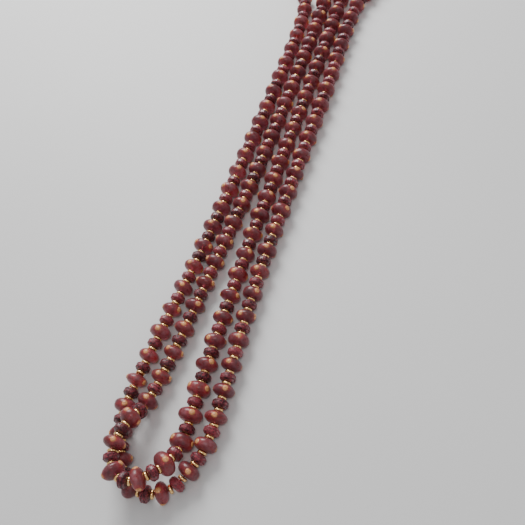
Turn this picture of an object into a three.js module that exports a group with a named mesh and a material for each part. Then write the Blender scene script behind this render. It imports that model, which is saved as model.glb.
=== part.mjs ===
// Long beaded rope necklace, laid doubled on a table: one endless string of frosted red eye beads and dark
// faceted beads with a small spacer bead in every gap. Folded in half, it lies as four runs side by side.
// Units are millimetres, +Z is up and the runs lie along Y. The string is cut in the two loops at the far end
// into an outer and an inner strand, which meet there face to face.
import * as THREE from 'three';

// Beads
const eyeDiameter = 9.1;
const eyeLength = 5.35;
const facetedDiameter = 6.8;
const facetedLength = 3.85;
const spacerDiameter = 2.4;
const spacerLength = 0.95;
const sides = 10;
// Half the flat band round a bead's belly, as a share of half its length
const eyeBand = 0.42;
const facetedBand = 0.4;

// Gap between the two strands where they meet
const meetingGap = 0.3;
// Play of the thread in each repeat of eye bead, spacer, faceted bead and spacer
const play = 0.25;
// Where the string is looser or tighter than elsewhere: so many gaps after a bead are each this much wider
const looseStretches = [
  { after: 40, gaps: 12, wider: 0.12 },
  { after: 57, gaps: 5, wider: 0.8 },
  { after: 88, gaps: 16, wider: 0.12 },
  { after: 150, gaps: 24, wider: -0.15 },
  { after: 188, gaps: 14, wider: 0.15 },
  { after: 202, gaps: 14, wider: -0.15 },
  { after: 216, gaps: 8, wider: 0.4 },
];
// From the first point of the route to the first bead
const leadIn = 8.5;

// How high the inner strand rises where it lies across the outer one, and the route in x, y and the share of
// that rise. It starts at the top of the left loop and runs down the outer strand.
const crossingClearance = 0.6;
const crossingRise = (eyeDiameter + facetedDiameter) / 2 + crossingClearance;
const leftLoop = { x: -15.5, y: 151.1, radius: 10.8 };
const rightLoop = { x: 16.8, y: 155.1, radius: 10.8 };
const onLoop = (loop, degrees) => {
  const angle = THREE.MathUtils.degToRad(degrees);
  return [loop.x + loop.radius * Math.cos(angle), loop.y + loop.radius * Math.sin(angle), 0];
};
const outerRoute = [
  onLoop(leftLoop, 95), onLoop(leftLoop, 142), onLoop(leftLoop, 190),
  [-22.2, 136.5, 0], [-16.3, 124, 0], [-13.6, 105, 0],
  [-14.2, 52, 0], [-16.7, -1, 0], [-20, -58, 0], [-24.4, -103, 0],
  [-26.8, -132, 0], [-26.4, -141, 0], [-23.4, -149, 0], [-20.2, -157, 0], [-15.6, -163.4, 0],
  [-9.2, -167.2, 0], [-2, -167, 0], [4.2, -163.6, 0], [8.2, -157, 0], [11.2, -149.5, 0],
  [12.7, -140, 0], [12.4, -122, 0], [10.9, -71, 0], [12.1, -8, 0], [14.1, 52, 0],
  [15, 110, 0], [17.6, 126, 0], [23.6, 139, 0],
  onLoop(rightLoop, -12), onLoop(rightLoop, 35),
];
const innerRoute = [
  onLoop(rightLoop, 83), onLoop(rightLoop, 131), onLoop(rightLoop, 180), [5.7, 134, 0],
  [5.4, 102, 0], [4.6, 59, 0], [2.8, -3, 0], [1.4, -65, 0], [1.7, -115, 0],
  [2.4, -138, 0], [2.7, -146.5, 0.1], [1.4, -155, 0.55], [-2.4, -161.4, 0.9], [-8.4, -165.6, 1.02],
  [-14.2, -165.3, 1.02], [-18.7, -161.2, 1], [-20.6, -155.5, 1], [-20.1, -148.6, 0.98],
  [-19, -142.2, 0.78], [-17.8, -135.6, 0.22],
  [-15.1, -112, 0], [-11, -58, 0], [-7.1, 0, 0], [-4.9, 57, 0],
  [-4, 105, 0], [-4.3, 133, 0], onLoop(leftLoop, 0), onLoop(leftLoop, 47),
];

// A ten-sided bead lies on a flat side, so its centre is this high
const restHeight = (eyeDiameter / 2) * Math.cos(Math.PI / sides);
const toPoint = ([x, y, rise]) => new THREE.Vector3(x, y, restHeight + rise * crossingRise);
const route = new THREE.CatmullRomCurve3([...outerRoute, ...innerRoute].map(toPoint), true);
route.arcLengthDivisions = 6000;
const routeLength = route.getLength();

// Beads in equal steps along the route: eye beads are the even ones
const widenedBy = (bead) => {
  const gapsPassed = ({ after, gaps }) => THREE.MathUtils.clamp(bead - after, 0, gaps);
  return looseStretches.reduce((sum, stretch) => sum + stretch.wider * gapsPassed(stretch), 0);
};
const strungLength = routeLength - widenedBy(Infinity);
const repeatLength = eyeLength + facetedLength + 2 * spacerLength + play;
const beadCount = 2 * Math.floor(strungLength / repeatLength);
const step = strungLength / beadCount;
const beadDistance = (bead) => leadIn + bead * step + widenedBy(bead);

// A place on the route: its centre, the direction of the string, the side and the upward direction there. The
// table carries the string wherever the curve would dip below it.
const placeAt = (distance) => {
  const share = THREE.MathUtils.euclideanModulo(distance / routeLength, 1);
  const centre = route.getPointAt(share);
  centre.z = Math.max(centre.z, restHeight);
  const along = route.getTangentAt(share);
  const side = new THREE.Vector3().crossVectors(along, new THREE.Vector3(0, 0, 1)).normalize();
  const up = new THREE.Vector3().crossVectors(side, along);
  return { centre, along, side, up };
};

const shifted = (place, offset) => {
  const centre = place.centre.clone().addScaledVector(place.along, offset);
  return { ...place, centre };
};

// The two edges of a bead's belly band
const bandRings = (bead) => {
  const isEye = bead % 2 === 0;
  const radius = (isEye ? eyeDiameter : facetedDiameter) / 2;
  const halfBand = isEye ? (eyeBand * eyeLength) / 2 : (facetedBand * facetedLength) / 2;
  const place = placeAt(beadDistance(bead));
  return [-halfBand, halfBand].map((offset) => ({ ...shifted(place, offset), radius }));
};

const gapMiddle = (bead) => (beadDistance(bead) + beadDistance(bead + 1)) / 2;
const spacerRing = (distance) => ({ ...placeAt(distance), radius: spacerDiameter / 2 });

// Rings of one strand, from the gap before its first bead to the gap after its last one, with closed ends
const strandRings = (firstBead, lastBead) => {
  const start = spacerRing(gapMiddle(firstBead - 1) + meetingGap / 2);
  const end = spacerRing(gapMiddle(lastBead) - meetingGap / 2);
  const rings = [{ ...start, radius: 0 }, start];
  for (let bead = firstBead; bead <= lastBead; bead++) {
    rings.push(...bandRings(bead));
    if (bead < lastBead) rings.push(spacerRing(gapMiddle(bead)));
  }
  return [...rings, end, { ...end, radius: 0 }];
};

// The strand is turned as one straight string, a flat side down, and each ring is then set on the route
const strandGeometry = (rings) => {
  const profile = rings.map((ring, index) => new THREE.Vector2(ring.radius, index));
  const geometry = new THREE.LatheGeometry(profile, sides, Math.PI / sides);
  const position = geometry.attributes.position;
  const point = new THREE.Vector3();
  for (let i = 0; i < position.count; i++) {
    const ring = rings[i % rings.length];
    point.copy(ring.centre);
    point.addScaledVector(ring.side, position.getX(i)).addScaledVector(ring.up, position.getZ(i));
    position.setXYZ(i, point.x, point.y, point.z);
  }
  geometry.computeVertexNormals();
  return geometry;
};

// The glass of the eye beads, which make up most of each strand
const redGlass = () => new THREE.MeshStandardMaterial({ color: 0x86383a, roughness: 0.45, metalness: 0 });

// The outer strand ends at the top of the right loop
const outerLength = new THREE.CatmullRomCurve3([...outerRoute, innerRoute[0]].map(toPoint)).getLength();
const outerWidened = widenedBy(outerLength / step);
const outerCount = Math.round((outerLength - leadIn - outerWidened) / step);
const strands = [
  { name: 'outer_strand', firstBead: 0, lastBead: outerCount - 1 },
  { name: 'inner_strand', firstBead: outerCount, lastBead: beadCount - 1 },
];

const necklace = new THREE.Group();
for (const { name, firstBead, lastBead } of strands) {
  const strand = new THREE.Mesh(strandGeometry(strandRings(firstBead, lastBead)), redGlass());
  strand.name = name;
  necklace.add(strand);
}

// The origin is the middle of the box on the table
const box = new THREE.Box3().setFromObject(necklace, true);
const middle = box.getCenter(new THREE.Vector3());
necklace.position.set(-middle.x, -middle.y, -box.min.z);
necklace.updateMatrixWorld(true);

export default necklace;
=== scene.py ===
import math
import random

import bmesh
import bpy
import numpy as np
from mathutils import Matrix, Vector


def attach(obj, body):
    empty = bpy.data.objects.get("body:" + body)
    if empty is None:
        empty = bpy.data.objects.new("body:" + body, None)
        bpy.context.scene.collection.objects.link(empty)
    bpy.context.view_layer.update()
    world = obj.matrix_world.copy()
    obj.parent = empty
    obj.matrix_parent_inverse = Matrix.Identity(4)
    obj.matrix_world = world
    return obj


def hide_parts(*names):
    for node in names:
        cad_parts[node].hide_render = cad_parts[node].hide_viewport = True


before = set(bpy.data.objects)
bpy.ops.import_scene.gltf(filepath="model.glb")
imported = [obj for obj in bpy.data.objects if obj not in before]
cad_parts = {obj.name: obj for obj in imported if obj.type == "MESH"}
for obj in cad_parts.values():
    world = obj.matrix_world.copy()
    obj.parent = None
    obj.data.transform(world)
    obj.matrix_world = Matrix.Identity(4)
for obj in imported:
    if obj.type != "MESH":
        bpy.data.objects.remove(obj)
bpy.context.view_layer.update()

bl_info = {
    "name": "Beaded Rope Necklace",
    "version": (1, 0, 0),
    "blender": (4, 5, 0),
    "location": "3D View > Sidebar > Necklace",
    "description": "Eye beads, faceted beads, spacers and thread of a long rope necklace, laid doubled",
    "category": "Object",
}

MM = 0.001
BODY = "root"
STRANDS = ("outer_strand", "inner_strand")

# The string's route, the same as the part's: x and y, and the share of the crossing's rise
LEFT_LOOP = (-15.5 * MM, 151.1 * MM)
RIGHT_LOOP = (16.8 * MM, 155.1 * MM)
LOOP_RADIUS = 10.8 * MM


def on_loop(centre, degrees):
    """A place on one of the two round loops at the far end."""
    angle = math.radians(degrees)
    return (centre[0] + LOOP_RADIUS * math.cos(angle), centre[1] + LOOP_RADIUS * math.sin(angle), 0)


ROUTE = [
    on_loop(LEFT_LOOP, 95), on_loop(LEFT_LOOP, 142), on_loop(LEFT_LOOP, 190),
    (-0.0222, 0.1365, 0), (-0.0163, 0.124, 0), (-0.0136, 0.105, 0),
    (-0.0142, 0.052, 0), (-0.0167, -0.001, 0), (-0.02, -0.058, 0), (-0.0244, -0.103, 0),
    (-0.0268, -0.132, 0), (-0.0264, -0.141, 0), (-0.0234, -0.149, 0), (-0.0202, -0.157, 0),
    (-0.0156, -0.1634, 0), (-0.0092, -0.1672, 0), (-0.002, -0.167, 0), (0.0042, -0.1636, 0),
    (0.0082, -0.157, 0), (0.0112, -0.1495, 0), (0.0127, -0.14, 0), (0.0124, -0.122, 0),
    (0.0109, -0.071, 0), (0.0121, -0.008, 0), (0.0141, 0.052, 0),
    (0.015, 0.11, 0), (0.0176, 0.126, 0), (0.0236, 0.139, 0),
    on_loop(RIGHT_LOOP, -12), on_loop(RIGHT_LOOP, 35),
    on_loop(RIGHT_LOOP, 83), on_loop(RIGHT_LOOP, 131), on_loop(RIGHT_LOOP, 180), (0.0057, 0.134, 0),
    (0.0054, 0.102, 0), (0.0046, 0.059, 0), (0.0028, -0.003, 0), (0.0014, -0.065, 0),
    (0.0017, -0.115, 0), (0.0024, -0.138, 0), (0.0027, -0.1465, 0.1), (0.0014, -0.155, 0.55),
    (-0.0024, -0.1614, 0.9), (-0.0084, -0.1656, 1.02), (-0.0142, -0.1653, 1.02),
    (-0.0187, -0.1612, 1), (-0.0206, -0.1555, 1), (-0.0201, -0.1486, 0.98),
    (-0.019, -0.1422, 0.78), (-0.0178, -0.1356, 0.22),
    (-0.0151, -0.112, 0), (-0.011, -0.058, 0), (-0.0071, 0, 0), (-0.0049, 0.057, 0),
    (-0.004, 0.105, 0), (-0.0043, 0.133, 0), on_loop(LEFT_LOOP, 0), on_loop(LEFT_LOOP, 47),
]
# Moves the route so that the origin is the middle of the part's box
ROUTE_SHIFT = Vector((-0.2444, 0.4375, 0)) * MM
# Samples of the smooth curve between two points of the route
ROUTE_SAMPLES = 80
# Points of the thread are about this far apart
THREAD_STEP = 1.8 * MM

# Where the string is looser or tighter than elsewhere: the bead before, the number of gaps, and how much
# wider each of them is
LOOSE_STRETCHES = [
    (40, 12, 0.12 * MM), (57, 5, 0.8 * MM), (88, 16, 0.12 * MM), (150, 24, -0.15 * MM),
    (188, 14, 0.15 * MM), (202, 14, -0.15 * MM), (216, 8, 0.4 * MM),
]

# The camera of the photograph: where it stands, where it looks and which way is up in the picture
CAMERA_PLACE = Vector((103.51, -199.03, 244.73)) * MM
CAMERA_LOOK = Vector((-0.31775, 0.47667, -0.81965))
CAMERA_UP = Vector((-0.13052, 0.83423, 0.53574))
# Sensor width and focal length, both in millimetres as the camera takes them
SENSOR = 36.0
FOCAL_LENGTH = 44.571

# Anything closer than this is at the same height on a bead
TOLERANCE = 0.01 * MM

# Eye beads. Profiles of their rounding: some are fuller and some more pointed at the belly
EYE_PROFILES = (0.54, 0.5, 0.45)
EYE_SEED = 11
EYE_SIDES = 22
EYE_SEGMENTS = 7
# The flat band round the belly before the bead is pressed to its length
BELLY_BAND = 0.6 * MM
EYE_GIRTHS = (0.93, 1.01)
EYE_STRETCHES = (0.93, 1.05)
EYE_SHADES = (0.0, 0.45)
EYE_TILT = 0.03
# Eye beads at the near end that are bigger than the others: their girths, and how much longer they all are
WIDE_BEADS = {170: 1.03, 172: 1.06, 174: 1.07, 176: 1.05, 178: 1.06}
WIDE_BEAD_STRETCH = 1.08
# Painted shade: how much darker the glass is painted from the belly towards the ends
END_PAINTED_SHADE = 0.35
# How far the orange red round a dot reaches, partly the glass under the dot and partly painted glow, and how
# strong it is at the dot's middle
GLOW_REACH = 2.5 * MM
GLOW_STRENGTH = 1.5

# Dots. How far they are turned round the bead together, how far apart from even and how far off the belly
DOT_COUNT = 3
EYE_ROTATION_SPREAD = math.radians(26)
DOT_ANGLE_PLAY = 0.3
DOT_OFFSET_PLAY_MM = 0.35
# How deep the middle of a dot lies under the bead's belly, and how much longer it is round the bead
DOT_SUNK = 0.45 * MM
DOT_WIDENING = 1.12

# Faceted beads. The bulge is how much wider the belly is than the ends
FACETED_SEED = 23
FACETED_SIDES = 18
FACETED_CUTS = 3
FACETED_SEGMENTS = 3
FACETED_ROUNDING = 1.5 * MM
FACETED_BULGE = 0.035
# How far the corners of the facets are off their places
FACET_JITTER = 0.07 * MM
FACET_JITTER_SEED = 4
FACETED_GIRTHS = (0.94, 1.0)
FACETED_TONES = (-0.3, 0.45)
FACETED_TILT = 0.04

# Spacers
SPACER_SEED = 37
SPACER_SIDES = 14
SPACER_SEGMENTS = 2
SPACER_ROUNDING = 0.5 * MM
SPACER_TILT = 0.07

# The hole through faceted beads and spacers
BORE = 1.0 * MM


class BeadSizes(bpy.types.PropertyGroup):
    """Sizes of the beads and the thread."""

    eye_diameter: bpy.props.FloatProperty(
        name="Eye bead diameter", description="Across the belly of an eye bead of girth 1",
        default=9.45 * MM, unit="LENGTH", subtype="DISTANCE")
    eye_length: bpy.props.FloatProperty(
        name="Eye bead length", description="Along the thread",
        default=5.05 * MM, unit="LENGTH", subtype="DISTANCE")
    eye_rounding: bpy.props.FloatProperty(
        name="Eye bead rounding", description="How far the rounding reaches in from the belly",
        default=3.5 * MM, unit="LENGTH", subtype="DISTANCE")
    eye_bore: bpy.props.FloatProperty(
        name="Eye bead bore", description="Across the hole for the thread",
        default=0.9 * MM, unit="LENGTH", subtype="DISTANCE")
    dot_diameter: bpy.props.FloatProperty(
        name="Dot diameter", description="Across one ochre dot of glass paste",
        default=2.4 * MM, unit="LENGTH", subtype="DISTANCE")
    dot_thickness: bpy.props.FloatProperty(
        name="Dot thickness", description="Through the middle of one dot, most of it sunk in the bead",
        default=1.3 * MM, unit="LENGTH", subtype="DISTANCE")
    faceted_diameter: bpy.props.FloatProperty(
        name="Faceted bead diameter", description="Across the belly of a faceted bead",
        default=6.8 * MM, unit="LENGTH", subtype="DISTANCE")
    faceted_length: bpy.props.FloatProperty(
        name="Faceted bead length", description="Along the thread",
        default=3.6 * MM, unit="LENGTH", subtype="DISTANCE")
    spacer_diameter: bpy.props.FloatProperty(
        name="Spacer diameter", description="Across one gold-coloured spacer",
        default=3.9 * MM, unit="LENGTH", subtype="DISTANCE")
    spacer_length: bpy.props.FloatProperty(
        name="Spacer length", description="Along the thread",
        default=1.35 * MM, unit="LENGTH", subtype="DISTANCE")
    thread_diameter: bpy.props.FloatProperty(
        name="Thread diameter", description="Across the doubled thread",
        default=0.7 * MM, unit="LENGTH", subtype="DISTANCE")
    rest_height: bpy.props.FloatProperty(
        name="Rest height", description="From the table to the middle of a level eye bead",
        default=4.55 * MM, unit="LENGTH", subtype="DISTANCE")
    crossing_rise: bpy.props.FloatProperty(
        name="Crossing rise",
        description="How much higher the inner strand lies where it crosses the outer one",
        default=8.55 * MM, unit="LENGTH", subtype="DISTANCE")
    lead_in: bpy.props.FloatProperty(
        name="Lead in", description="From the first point of the route to the first bead",
        default=8.5 * MM, unit="LENGTH", subtype="DISTANCE")


class BeadColours(bpy.types.PropertyGroup):
    """Colours of the beads and the thread."""

    eye_glass: bpy.props.FloatVectorProperty(
        name="Eye bead glass", description="Frosted outer glass of the eye beads",
        default=(0.3, 0.054, 0.063), min=0, max=1, subtype="COLOR")
    eye_core: bpy.props.FloatVectorProperty(
        name="Eye bead core", description="Clear red glass that glows under the frosting",
        default=(0.56, 0.02, 0.017), min=0, max=1, subtype="COLOR")
    eye_haze: bpy.props.FloatVectorProperty(
        name="Eye bead haze", description="Pale mauve patches of the frosting",
        default=(0.42, 0.165, 0.205), min=0, max=1, subtype="COLOR")
    # Also the painted shade towards the ends of every eye bead
    eye_dark_tone_and_painted_shade: bpy.props.FloatVectorProperty(
        name="Eye bead shade", description="Dark wine red of the darkest beads and of the ends",
        default=(0.14, 0.02, 0.042), min=0, max=1, subtype="COLOR")
    # Partly the orange red glass under each dot and partly a painted glow
    eye_glow: bpy.props.FloatVectorProperty(
        name="Glow round a dot", description="Orange red glass round each dot",
        default=(0.8, 0.06, 0.03), min=0, max=1, subtype="COLOR")
    dot: bpy.props.FloatVectorProperty(
        name="Dot", description="Ochre glass paste of the dots",
        default=(0.68, 0.31, 0.12), min=0, max=1, subtype="COLOR")
    # The facets are painted between these two at random: partly each bead's own tone, partly painted glints
    faceted_dark: bpy.props.FloatVectorProperty(
        name="Faceted glass, dark", description="Darkest facets",
        default=(0.045, 0.009, 0.013), min=0, max=1, subtype="COLOR")
    faceted_light_and_glint: bpy.props.FloatVectorProperty(
        name="Faceted glass, light", description="Lightest facets",
        default=(0.27, 0.036, 0.05), min=0, max=1, subtype="COLOR")
    gold: bpy.props.FloatVectorProperty(
        name="Spacer metal", description="Polished gold colour of the spacers",
        default=(1.0, 0.69, 0.31), min=0, max=1, subtype="COLOR")
    thread: bpy.props.FloatVectorProperty(
        name="Thread", description="Dark red thread",
        default=(0.12, 0.03, 0.02), min=0, max=1, subtype="COLOR")
    floor: bpy.props.FloatVectorProperty(
        name="Floor", description="Pale plain table top",
        default=(0.6, 0.596, 0.592), min=0, max=1, subtype="COLOR")


def sizes():
    """The sizes that the panel shows."""
    return bpy.context.scene.necklace_sizes


def colours():
    """The colours that the panel shows."""
    return bpy.context.scene.necklace_colours


def route_curve():
    """Samples of the closed smooth curve through the route's points, and how far along it each one is."""
    size = sizes()
    points = [
        Vector((x, y, size.rest_height + rise * size.crossing_rise)) + ROUTE_SHIFT for x, y, rise in ROUTE
    ]
    shares = np.linspace(0, 1, ROUTE_SAMPLES, endpoint=False)[:, None]
    samples = []
    for index in range(len(points)):
        before, start, end, after = (
            np.array(points[(index + offset) % len(points)]) for offset in (-1, 0, 1, 2)
        )
        reach_before, reach, reach_after = (
            math.sqrt(np.linalg.norm(b - a)) for a, b in ((before, start), (start, end), (end, after))
        )
        straight = (end - start) / reach
        leave = (start - before) / reach_before - (end - before) / (reach_before + reach) + straight
        arrive = straight - (after - start) / (reach + reach_after) + (after - end) / reach_after
        leave *= reach
        arrive *= reach
        square = 3 * (end - start) - 2 * leave - arrive
        cube = 2 * (start - end) + leave + arrive
        samples.append(start + leave * shares + square * shares**2 + cube * shares**3)
    samples = np.vstack(samples)
    samples[:, 2] = np.maximum(samples[:, 2], size.rest_height)
    closed = np.vstack([samples, samples[:1]])
    steps = np.linalg.norm(np.diff(closed, axis=0), axis=1)
    return closed, np.concatenate([[0], np.cumsum(steps)])


class Route:
    """The string's route, with the place of every bead and gap on it."""

    def __init__(self):
        size = sizes()
        self.points, self.distances = route_curve()
        self.length = self.distances[-1]
        self.lead_in = size.lead_in
        repeat_length = size.eye_length + size.faceted_length + 2 * size.spacer_length
        strung_length = self.length - self.widened_by(math.inf)
        self.bead_count = 2 * math.floor(strung_length / repeat_length)
        self.step = strung_length / self.bead_count

    def widened_by(self, bead):
        """How much wider or narrower all the gaps before a bead are together."""
        return sum(wider * min(max(bead - after, 0), gaps) for after, gaps, wider in LOOSE_STRETCHES)

    def point(self, distance):
        """The place at a distance along the string."""
        distance %= self.length
        return Vector([np.interp(distance, self.distances, self.points[:, axis]) for axis in range(3)])

    def place(self, distance):
        """A matrix at a distance: its X is up, its Y is sideways and its Z is along the string."""
        reach = 0.2 * MM
        along = (self.point(distance + reach) - self.point(distance - reach)).normalized()
        side = along.cross(Vector((0, 0, 1))).normalized()
        up = side.cross(along)
        turn = Matrix((up, side, along)).transposed().to_4x4()
        return Matrix.Translation(self.point(distance)) @ turn

    def bead_distance(self, bead):
        """How far along the string a bead is."""
        return self.lead_in + bead * self.step + self.widened_by(bead)

    def gap_distance(self, bead):
        """How far along the string the gap after a bead is."""
        return (self.bead_distance(bead) + self.bead_distance(bead + 1)) / 2


def pick(piece, kind, wanted):
    """In edit mode, selects the piece's VERT, EDGE or FACE elements for which wanted(element) holds."""
    bpy.ops.mesh.select_mode(type=kind)
    bpy.ops.mesh.select_all(action="DESELECT")
    mesh = bmesh.from_edit_mesh(piece.data)
    elements = {"VERT": mesh.verts, "EDGE": mesh.edges, "FACE": mesh.faces}[kind]
    for element in elements:
        element.select_set(bool(wanted(element)))
    mesh.select_flush_mode()
    bmesh.update_edit_mesh(piece.data)


def add_blank(name, sides, diameter, length):
    """A closed cylinder round the Z axis at the origin, left in edit mode with nothing else selected."""
    bpy.ops.object.select_all(action="DESELECT")
    bpy.ops.mesh.primitive_cylinder_add(
        vertices=sides, radius=diameter / 2, depth=length, end_fill_type="NGON")
    blank = bpy.context.active_object
    blank.name = name
    bpy.ops.object.mode_set(mode="EDIT")
    return blank


def round_rims(blank, length, rounding, segments, profile=0.5):
    """Bevels the two rims of a cylinder."""
    near_end = length / 2 - TOLERANCE
    pick(blank, "EDGE", lambda edge: abs(edge.verts[0].co.z + edge.verts[1].co.z) / 2 > near_end)
    bpy.ops.mesh.bevel(offset=rounding, segments=segments, profile=profile, affect="EDGES")


def drill(blank, length, face_radius, bore):
    """Cuts the hole for the thread through the two flat ends, each one face with many corners."""
    near_end = length / 2 - TOLERANCE
    pick(blank, "FACE", lambda face: abs(face.calc_center_median().z) > near_end)
    bpy.ops.mesh.inset(thickness=face_radius - bore / 2)
    pick(blank, "FACE", lambda face: abs(face.calc_center_median().z) > near_end and len(face.verts) > 4)
    bpy.ops.mesh.bridge_edge_loops()


def finish_blank(blank, smooth_degrees=None):
    """Leaves edit mode with normals outwards, shaded smooth below the given angle or else flat."""
    bpy.ops.mesh.select_all(action="SELECT")
    bpy.ops.mesh.normals_make_consistent(inside=False)
    bpy.ops.object.mode_set(mode="OBJECT")
    if smooth_degrees:
        bpy.ops.object.shade_smooth_by_angle(angle=math.radians(smooth_degrees))
    else:
        bpy.ops.object.shade_flat()


def copy_at(master, place, paint=None):
    """A copy of the master with its own mesh, painted by paint(mesh) and then moved to its place."""
    copy = master.copy()
    copy.data = master.data.copy()
    bpy.context.collection.objects.link(copy)
    if paint:
        paint(copy.data)
    copy.data.transform(place)
    return copy


def join_pieces(copies, name, material):
    """Joins the copies into one piece that rides on the body and replaces both strands."""
    bpy.ops.object.select_all(action="DESELECT")
    for copy in copies:
        copy.select_set(True)
    bpy.context.view_layer.objects.active = copies[0]
    if len(copies) > 1:
        bpy.ops.object.join()
    piece = bpy.context.view_layer.objects.active
    piece.name = name
    piece.data.name = name
    piece.data.materials.clear()
    piece.data.materials.append(material)
    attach(piece, BODY)
    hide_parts(*STRANDS)


def remove(master):
    """Deletes a master once its copies are made."""
    bpy.ops.object.select_all(action="DESELECT")
    master.select_set(True)
    bpy.ops.object.delete()


def new_material(name):
    """A new material, with its node tree and its main shader."""
    material = bpy.data.materials.new(name)
    material.use_nodes = True
    tree = material.node_tree
    return material, tree, tree.nodes["Principled BSDF"]


def add_node(tree, kind, **values):
    """Adds a node, with its settings by name and its input values under inputs."""
    node = tree.nodes.new(kind)
    inputs = values.pop("inputs", {})
    for name, value in values.items():
        setattr(node, name, value)
    for name, value in inputs.items():
        node.inputs[name].default_value = value
    return node


def add_noise(tree, scale, detail):
    """Noise on the piece's Object coordinates."""
    place = add_node(tree, "ShaderNodeTexCoord")
    noise = add_node(tree, "ShaderNodeTexNoise", inputs={
        "Scale": scale, "Detail": detail, "Roughness": 0.55})
    tree.links.new(place.outputs["Object"], noise.inputs["Vector"])
    return noise


def add_range(tree, source, low, high, from_low=0.0, from_high=1.0):
    """Maps a value from the range from_low to from_high to the range low to high, clamped."""
    node = add_node(tree, "ShaderNodeMapRange", inputs={
        "From Min": from_low, "From Max": from_high, "To Min": low, "To Max": high})
    tree.links.new(source, node.inputs["Value"])
    return node.outputs["Result"]


def add_mix(tree, factor, first, second):
    """Mixes two colours by a factor, each of them a value or a socket."""
    node = add_node(tree, "ShaderNodeMix", data_type="RGBA")
    for socket, value in ((node.inputs[0], factor), (node.inputs[6], first), (node.inputs[7], second)):
        if isinstance(value, bpy.types.NodeSocket):
            tree.links.new(value, socket)
        elif isinstance(value, (int, float)):
            socket.default_value = value
        else:
            socket.default_value = (*value[:3], 1.0)
    return node.outputs[2]


def add_bump(tree, shader, height, strength, distance):
    """Bumps a shader's normal by a height."""
    bump = add_node(tree, "ShaderNodeBump", inputs={"Strength": strength, "Distance": distance})
    tree.links.new(height, bump.inputs["Height"])
    tree.links.new(bump.outputs["Normal"], shader.inputs["Normal"])


def frosted_glass():
    """Frosted red glass that lets light through: mauve haze, clearer red patches, painted shade towards the
    ends, orange round the dots partly painted glow.
    """
    colour = colours()
    material, tree, shader = new_material("frosted_red_glass")
    paint = add_node(tree, "ShaderNodeAttribute", attribute_name="bead_paint")
    channels = add_node(tree, "ShaderNodeSeparateColor")
    tree.links.new(paint.outputs["Color"], channels.inputs["Color"])
    clouds = add_noise(tree, scale=520.0, detail=5.0)
    patches = add_noise(tree, scale=260.0, detail=3.0)
    core_share = add_range(tree, patches.outputs["Fac"], 0.0, 1.0, from_low=0.4, from_high=0.62)
    body = add_mix(tree, core_share, colour.eye_glass, colour.eye_core)
    haze_share = add_range(tree, clouds.outputs["Fac"], 0.0, 0.85, from_low=0.42, from_high=0.66)
    mottled = add_mix(tree, haze_share, body, colour.eye_haze)
    # The red channel: each bead's own darkness, and painted shade towards the ends
    shaded = add_mix(tree, channels.outputs["Red"], mottled, colour.eye_dark_tone_and_painted_shade)
    # Orange red round each dot: partly the glass under the dot, partly painted glow
    glow_share = add_node(tree, "ShaderNodeMath", operation="MULTIPLY")
    glow_patches = add_range(tree, clouds.outputs["Fac"], 0.3, 1.0, from_low=0.4, from_high=0.62)
    tree.links.new(channels.outputs["Green"], glow_share.inputs[0])
    tree.links.new(glow_patches, glow_share.inputs[1])
    final = add_mix(tree, glow_share.outputs["Value"], shaded, colour.eye_glow)
    tree.links.new(final, shader.inputs["Base Color"])
    roughness = add_range(tree, clouds.outputs["Fac"], 0.26, 0.42, from_low=0.3, from_high=0.7)
    tree.links.new(roughness, shader.inputs["Roughness"])
    shader.inputs["IOR"].default_value = 1.5
    clearness = add_range(tree, patches.outputs["Fac"], 0.55, 0.85, from_low=0.4, from_high=0.62)
    tree.links.new(clearness, shader.inputs["Transmission Weight"])
    shader.inputs["Specular IOR Level"].default_value = 0.35
    grain = add_noise(tree, scale=3200.0, detail=2.0)
    add_bump(tree, shader, grain.outputs["Fac"], strength=0.1, distance=0.02 * MM)
    return material


def paste_glass():
    """Ochre glass paste of the dots, a little uneven."""
    colour = colours()
    material, tree, shader = new_material("ochre_paste_glass")
    mottle = add_noise(tree, scale=1400.0, detail=4.0)
    darkening = 0.62
    darker = tuple(darkening * channel for channel in colour.dot)
    uneven = add_range(tree, mottle.outputs["Fac"], 0.0, 1.0, from_low=0.4, from_high=0.62)
    tree.links.new(add_mix(tree, uneven, darker, colour.dot), shader.inputs["Base Color"])
    shader.inputs["Roughness"].default_value = 0.34
    shader.inputs["Subsurface Weight"].default_value = 0.25
    shader.inputs["Subsurface Radius"].default_value = (1.0, 0.5, 0.2)
    shader.inputs["Subsurface Scale"].default_value = 0.6 * MM
    add_bump(tree, shader, mottle.outputs["Fac"], strength=0.2, distance=0.04 * MM)
    return material


def garnet_glass():
    """Dark garnet glass, each bead its own shade, with painted glints: its facets are painted lighter or
    darker at random.
    """
    colour = colours()
    material, tree, shader = new_material("dark_garnet_glass")
    # Painted glints on the facets, with each bead's own tone
    paint = add_node(tree, "ShaderNodeAttribute", attribute_name="facet_tone_and_glint_paint")
    clouds = add_noise(tree, scale=900.0, detail=3.0)
    cloud_share = 0.45
    uneven = add_mix(tree, cloud_share, paint.outputs["Fac"], clouds.outputs["Fac"])
    tone = add_range(tree, uneven, 0.0, 1.0, from_low=0.28, from_high=0.8)
    final = add_mix(tree, tone, colour.faceted_dark, colour.faceted_light_and_glint)
    tree.links.new(final, shader.inputs["Base Color"])
    tree.links.new(add_range(tree, clouds.outputs["Fac"], 0.3, 0.5), shader.inputs["Roughness"])
    shader.inputs["IOR"].default_value = 1.55
    shader.inputs["Transmission Weight"].default_value = 0.1
    shader.inputs["Subsurface Weight"].default_value = 0.3
    shader.inputs["Subsurface Radius"].default_value = (1.0, 0.12, 0.14)
    shader.inputs["Subsurface Scale"].default_value = 1.0 * MM
    shader.inputs["Specular IOR Level"].default_value = 0.1
    add_bump(tree, shader, clouds.outputs["Fac"], strength=0.12, distance=0.06 * MM)
    return material


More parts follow.
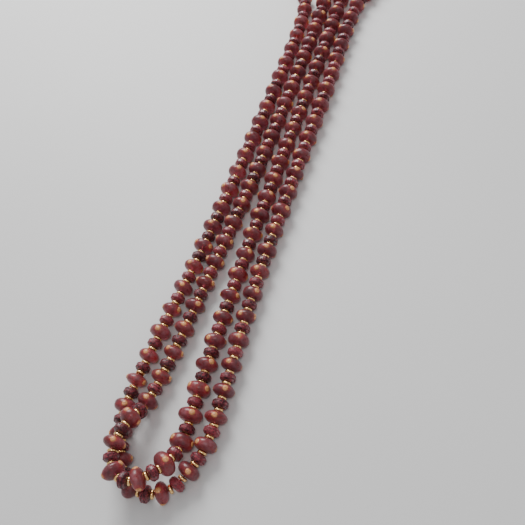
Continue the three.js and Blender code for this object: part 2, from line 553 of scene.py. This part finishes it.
def polished_gold():
    """Polished gold-coloured metal, a little worn."""
    colour = colours()
    material, tree, shader = new_material("polished_gold_metal")
    wear = add_noise(tree, scale=2200.0, detail=3.0)
    worn_tint = (0.78, 0.6, 0.42)
    worn = tuple(share * channel for share, channel in zip(worn_tint, colour.gold))
    tone = add_range(tree, wear.outputs["Fac"], 0.0, 1.0, from_low=0.35, from_high=0.6)
    tree.links.new(add_mix(tree, tone, worn, colour.gold), shader.inputs["Base Color"])
    tree.links.new(add_range(tree, wear.outputs["Fac"], 0.12, 0.22), shader.inputs["Roughness"])
    shader.inputs["Metallic"].default_value = 1.0
    add_bump(tree, shader, wear.outputs["Fac"], strength=0.08, distance=0.03 * MM)
    return material


def twisted_thread():
    """Dark red thread with very fine fibres that run along it."""
    colour = colours()
    material, tree, shader = new_material("twisted_red_thread")
    unwrapped = add_node(tree, "ShaderNodeUVMap", uv_map="UVMap")
    # The map's first axis runs once along the whole thread, the second once round it
    stretched = add_node(tree, "ShaderNodeMapping", inputs={"Scale": (3.0, 900.0, 1.0)})
    fibres = add_node(
        tree, "ShaderNodeTexWave", wave_type="BANDS", bands_direction="DIAGONAL", inputs={"Scale": 1.0})
    tree.links.new(unwrapped.outputs["UV"], stretched.inputs["Vector"])
    tree.links.new(stretched.outputs["Vector"], fibres.inputs["Vector"])
    brightening = 2.2
    lighter = tuple(min(1.0, brightening * channel) for channel in colour.thread)
    tree.links.new(add_mix(tree, fibres.outputs["Fac"], colour.thread, lighter), shader.inputs["Base Color"])
    shader.inputs["Roughness"].default_value = 0.65
    shader.inputs["Sheen Weight"].default_value = 0.3
    add_bump(tree, shader, fibres.outputs["Fac"], strength=0.5, distance=0.1 * MM)
    return material


def eye_bead_master(profile):
    """One eye bead round the Z axis: a round one that is then pressed to its length, with a bore."""
    size = sizes()
    blank_length = 2 * size.eye_rounding + BELLY_BAND
    bead = add_blank("eye_bead", EYE_SIDES, size.eye_diameter, blank_length)
    round_rims(bead, blank_length, size.eye_rounding, EYE_SEGMENTS, profile)
    drill(bead, blank_length, size.eye_diameter / 2 - size.eye_rounding, size.eye_bore)
    bpy.ops.mesh.select_all(action="SELECT")
    bpy.ops.transform.resize(value=(1, 1, size.eye_length / blank_length))
    finish_blank(bead, smooth_degrees=45)
    return bead


def faceted_bead_master():
    """One faceted bead round the Z axis: a barrel, every other ring of it turned by half a facet."""
    size = sizes()
    bead = add_blank("faceted_bead", FACETED_SIDES, size.faceted_diameter, size.faceted_length)
    half = size.faceted_length / 2
    pick(bead, "EDGE", lambda edge: abs(edge.verts[0].co.z - edge.verts[1].co.z) > half)
    bpy.ops.mesh.subdivide(number_cuts=FACETED_CUTS)
    round_rims(bead, size.faceted_length, FACETED_ROUNDING, FACETED_SEGMENTS)
    # The heights of the rings, in millimetres
    heights = sorted({round(v.co.z / MM, 3) for v in bmesh.from_edit_mesh(bead.data).verts})
    for index, height in enumerate(heights):
        pick(bead, "VERT", lambda v, height=height: abs(v.co.z / MM - height) < TOLERANCE / MM)
        bulge = 1 + FACETED_BULGE * (1 - (height * MM / half) ** 2)
        width = bulge / (1 + FACETED_BULGE)
        bpy.ops.transform.resize(value=(width, width, 1))
        if index % 2:
            bpy.ops.transform.rotate(
                value=math.pi / FACETED_SIDES, orient_axis="Z", center_override=(0, 0, height * MM))
    drill(bead, size.faceted_length, size.faceted_diameter / 2 - FACETED_ROUNDING, BORE)
    bpy.ops.mesh.select_all(action="SELECT")
    bpy.ops.transform.vertex_random(offset=FACET_JITTER, seed=FACET_JITTER_SEED)
    bpy.ops.mesh.quads_convert_to_tris(quad_method="SHORTEST_DIAGONAL")
    finish_blank(bead)
    return bead


def spacer_master():
    """One spacer round the Z axis: a short rounded ring."""
    size = sizes()
    bead = add_blank("spacer_bead", SPACER_SIDES, size.spacer_diameter, size.spacer_length)
    round_rims(bead, size.spacer_length, SPACER_ROUNDING, SPACER_SEGMENTS)
    drill(bead, size.spacer_length, size.spacer_diameter / 2 - SPACER_ROUNDING, BORE)
    finish_blank(bead, smooth_degrees=75)
    return bead


def dot_master():
    """One dot: a flat lens in the YZ plane, a little longer round the bead than along it."""
    size = sizes()
    bpy.ops.object.select_all(action="DESELECT")
    bpy.ops.mesh.primitive_uv_sphere_add(
        segments=12, ring_count=6, radius=size.dot_diameter / 2, rotation=(0, math.pi / 2, 0))
    dot = bpy.context.active_object
    dot.name = "dot"
    bpy.ops.object.transform_apply(location=False, rotation=True, scale=False)
    bpy.ops.object.mode_set(mode="EDIT")
    bpy.ops.mesh.select_all(action="SELECT")
    bpy.ops.transform.resize(value=(size.dot_thickness / size.dot_diameter, DOT_WIDENING, 1))
    finish_blank(dot, smooth_degrees=60)
    return dot


def random_tilt(draw, spread):
    """A small random turn about X and then about Y, in radians."""
    return Matrix.Rotation(draw.gauss(0, spread), 4, "X") @ Matrix.Rotation(draw.gauss(0, spread), 4, "Y")


class EyeBead:
    """How one eye bead differs from the others: its girth, length, form and shade, and its dots' places."""

    def __init__(self, bead, route, draw):
        size = sizes()
        usual_girth = draw.uniform(*EYE_GIRTHS)
        girth = WIDE_BEADS.get(bead, usual_girth)
        stretch = WIDE_BEAD_STRETCH if bead in WIDE_BEADS else draw.uniform(*EYE_STRETCHES)
        self.form = draw.randrange(len(EYE_PROFILES))
        self.shade = draw.uniform(*EYE_SHADES)
        turn = draw.gauss(0.0, EYE_ROTATION_SPREAD)
        even_angles = [turn + dot * 2 * math.pi / DOT_COUNT for dot in range(DOT_COUNT)]
        self.dots = [angle + draw.uniform(-DOT_ANGLE_PLAY, DOT_ANGLE_PLAY) for angle in even_angles]
        self.dot_offsets = [draw.uniform(-DOT_OFFSET_PLAY_MM, DOT_OFFSET_PLAY_MM) * MM for _ in self.dots]
        tilt = random_tilt(draw, EYE_TILT)
        # Lifts or lowers the bead so that a dot straight below it would touch the floor
        lift = girth * size.eye_diameter / 2 + size.dot_thickness / 2 - DOT_SUNK - size.rest_height
        place = Matrix.Translation((0, 0, lift)) @ route.place(route.bead_distance(bead))
        self.place = place @ tilt @ Matrix.Diagonal((girth, girth, stretch, 1))

    def dot_places(self):
        """Each dot's place in the unplaced bead."""
        radius = sizes().eye_diameter / 2
        for angle, offset in zip(self.dots, self.dot_offsets):
            inward = Matrix.Translation((radius - DOT_SUNK, 0, offset))
            yield Matrix.Rotation(angle, 4, "Z") @ inward

    def paint(self, mesh):
        """Writes the bead's own shade with painted shade towards its ends, and the orange round its dots,
        partly painted glow, to the mesh.
        """
        middles = [place.translation for place in self.dot_places()]
        layer = mesh.color_attributes.new("bead_paint", "FLOAT_COLOR", "POINT")
        half_length = sizes().eye_length / 2
        for index, vertex in enumerate(mesh.vertices):
            nearest = min((vertex.co - middle).length for middle in middles)
            # Orange red round the dots: partly the glass under each dot, partly painted glow
            glow = GLOW_STRENGTH * max(0.0, 1 - nearest / GLOW_REACH)
            height = abs(vertex.co.z) / half_length
            # Painted shade: darker towards the ends, on top of the bead's own darkness
            shade = self.shade + END_PAINTED_SHADE * height**2
            layer.data[index].color = (min(1.0, shade), min(1.0, glow), 0, 1)


def all_eye_beads(route):
    """Every eye bead of the string, drawn in the same order each time."""
    draw = random.Random(EYE_SEED)
    return [EyeBead(bead, route, draw) for bead in range(0, route.bead_count, 2)]


class NECKLACE_OT_eye_beads(bpy.types.Operator):
    """Models the three forms of frosted eye bead and strings their copies"""

    bl_idname = "necklace.eye_beads"
    bl_label = "Eye Beads"

    def execute(self, context):
        masters = [eye_bead_master(profile) for profile in EYE_PROFILES]
        beads = all_eye_beads(Route())
        copies = [copy_at(masters[bead.form], bead.place, bead.paint) for bead in beads]
        join_pieces(copies, "eye_beads", frosted_glass())
        for master in masters:
            remove(master)
        return {"FINISHED"}


class NECKLACE_OT_bead_eyes(bpy.types.Operator):
    """Sets the ochre dots round each eye bead"""

    bl_idname = "necklace.bead_eyes"
    bl_label = "Bead Eyes"

    def execute(self, context):
        master = dot_master()
        beads = all_eye_beads(Route())
        copies = [copy_at(master, bead.place @ place) for bead in beads for place in bead.dot_places()]
        join_pieces(copies, "bead_eyes", paste_glass())
        remove(master)
        return {"FINISHED"}


class NECKLACE_OT_faceted_beads(bpy.types.Operator):
    """Models one faceted bead and strings its copies"""

    bl_idname = "necklace.faceted_beads"
    bl_label = "Faceted Beads"

    def execute(self, context):
        route = Route()
        draw = random.Random(FACETED_SEED)
        master = faceted_bead_master()
        copies = []
        for bead in range(1, route.bead_count, 2):
            spin = Matrix.Rotation(draw.uniform(0, 2 * math.pi), 4, "Z")
            tilt = random_tilt(draw, FACETED_TILT)
            girth = draw.uniform(*FACETED_GIRTHS)
            place = route.place(route.bead_distance(bead)) @ tilt @ spin
            tone = draw.uniform(*FACETED_TONES)

            # Painted glints: each facet painted lighter or darker at random, on top of the bead's own tone
            def paint(mesh, tone=tone):
                layer = mesh.attributes.new("facet_tone_and_glint_paint", "FLOAT", "FACE")
                for value in layer.data:
                    value.value = draw.random() + tone

            copies.append(copy_at(master, place @ Matrix.Diagonal((girth, girth, 1, 1)), paint))
        join_pieces(copies, "faceted_beads", garnet_glass())
        remove(master)
        return {"FINISHED"}


class NECKLACE_OT_spacer_beads(bpy.types.Operator):
    """Models one gold-coloured spacer and puts a copy in every gap"""

    bl_idname = "necklace.spacer_beads"
    bl_label = "Spacer Beads"

    def execute(self, context):
        route = Route()
        draw = random.Random(SPACER_SEED)
        size = sizes()
        master = spacer_master()
        # An eye bead is longer than a faceted one, so the gap lies this far off the middle between the two
        gap_shift = (size.eye_length - size.faceted_length) / 4
        copies = []
        for bead in range(route.bead_count):
            eye_first = bead % 2 == 0
            distance = route.gap_distance(bead) + (gap_shift if eye_first else -gap_shift)
            tilt = random_tilt(draw, SPACER_TILT)
            copies.append(copy_at(master, route.place(distance) @ tilt))
        join_pieces(copies, "spacer_beads", polished_gold())
        remove(master)
        return {"FINISHED"}


class NECKLACE_OT_thread(bpy.types.Operator):
    """Runs the endless thread through all the beads"""

    bl_idname = "necklace.thread"
    bl_label = "Thread"

    def execute(self, context):
        route = Route()
        bpy.ops.object.select_all(action="DESELECT")
        bpy.ops.curve.primitive_nurbs_path_add()
        thread = bpy.context.active_object
        curve = thread.data
        curve.splines.clear()
        spline = curve.splines.new("POLY")
        count = round(route.length / THREAD_STEP)
        spline.points.add(count - 1)
        for index, point in enumerate(spline.points):
            point.co = (*route.point(index / count * route.length), 1)
        spline.use_cyclic_u = True
        curve.bevel_depth = sizes().thread_diameter / 2
        curve.bevel_resolution = 1
        bpy.ops.object.convert(target="MESH")
        join_pieces([bpy.context.active_object], "thread", twisted_thread())
        return {"FINISHED"}


def add_light(name, place, target, size, power):
    """A square soft light aimed at a point."""
    data = bpy.data.lights.new(name, "AREA")
    data.size = size
    data.energy = power
    light = bpy.data.objects.new(name, data)
    light.location = place
    light.rotation_mode = "QUATERNION"
    light.rotation_quaternion = (Vector(target) - Vector(place)).to_track_quat("-Z", "Y")
    bpy.context.collection.objects.link(light)


class NECKLACE_OT_stage(bpy.types.Operator):
    """Lays out the pale floor, the soft lights and the camera"""

    bl_idname = "necklace.stage"
    bl_label = "Stage"

    def execute(self, context):
        bpy.ops.object.select_all(action="DESELECT")
        bpy.ops.mesh.primitive_plane_add(size=6.0)
        floor = bpy.context.active_object
        floor.name = "floor"
        material, tree, shader = new_material("pale_floor")
        clouds = add_noise(tree, scale=6.0, detail=2.0)
        tint = add_range(tree, clouds.outputs["Fac"], 0.0, 1.0, from_low=0.3, from_high=0.7)
        darkening = 0.97
        darker = tuple(darkening * channel for channel in colours().floor)
        tree.links.new(add_mix(tree, tint, darker, colours().floor), shader.inputs["Base Color"])
        shader.inputs["Roughness"].default_value = 0.6
        floor.data.materials.append(material)

        world = bpy.data.worlds.new("soft_surroundings")
        world.use_nodes = True
        background = world.node_tree.nodes["Background"]
        background.inputs["Color"].default_value = (0.97, 0.98, 1.0, 1.0)
        background.inputs["Strength"].default_value = 0.6
        context.scene.world = world
        add_light("window", place=(-0.34, 0.5, 0.54), target=(-0.03, 0.12, 0), size=0.45, power=10.6)
        add_light("lamp", place=(0.22, -0.25, 0.8), target=(0, -0.02, 0), size=0.12, power=1.2)

        data = bpy.data.cameras.new("camera")
        data.sensor_width = SENSOR
        data.lens = FOCAL_LENGTH
        data.clip_start = 10 * MM
        camera = bpy.data.objects.new("camera", data)
        right = CAMERA_LOOK.cross(CAMERA_UP).normalized()
        turn = Matrix((right, right.cross(CAMERA_LOOK), -CAMERA_LOOK)).transposed().to_4x4()
        camera.matrix_world = Matrix.Translation(CAMERA_PLACE) @ turn
        context.collection.objects.link(camera)
        context.scene.camera = camera
        return {"FINISHED"}


class NECKLACE_PT_panel(bpy.types.Panel):
    """Lists the sizes, the colours and the pieces"""

    bl_idname = "NECKLACE_PT_panel"
    bl_label = "Beaded Rope Necklace"
    bl_space_type = "VIEW_3D"
    bl_region_type = "UI"
    bl_category = "Necklace"

    def draw(self, context):
        for group in (context.scene.necklace_sizes, context.scene.necklace_colours):
            box = self.layout.box()
            for name in group.__annotations__:
                box.prop(group, name)
        for operator in OPERATORS:
            self.layout.operator(operator.bl_idname)


OPERATORS = (
    NECKLACE_OT_eye_beads,
    NECKLACE_OT_bead_eyes,
    NECKLACE_OT_faceted_beads,
    NECKLACE_OT_spacer_beads,
    NECKLACE_OT_thread,
    NECKLACE_OT_stage,
)
CLASSES = (BeadSizes, BeadColours, *OPERATORS, NECKLACE_PT_panel)


def register():
    for cls in CLASSES:
        bpy.utils.register_class(cls)
    bpy.types.Scene.necklace_sizes = bpy.props.PointerProperty(type=BeadSizes)
    bpy.types.Scene.necklace_colours = bpy.props.PointerProperty(type=BeadColours)


def unregister():
    del bpy.types.Scene.necklace_colours
    del bpy.types.Scene.necklace_sizes
    for cls in reversed(CLASSES):
        bpy.utils.unregister_class(cls)


def main():
    register()
    bpy.ops.necklace.eye_beads()
    bpy.ops.necklace.bead_eyes()
    bpy.ops.necklace.faceted_beads()
    bpy.ops.necklace.spacer_beads()
    bpy.ops.necklace.thread()
    bpy.ops.necklace.stage()


if __name__ == "__main__":
    main()
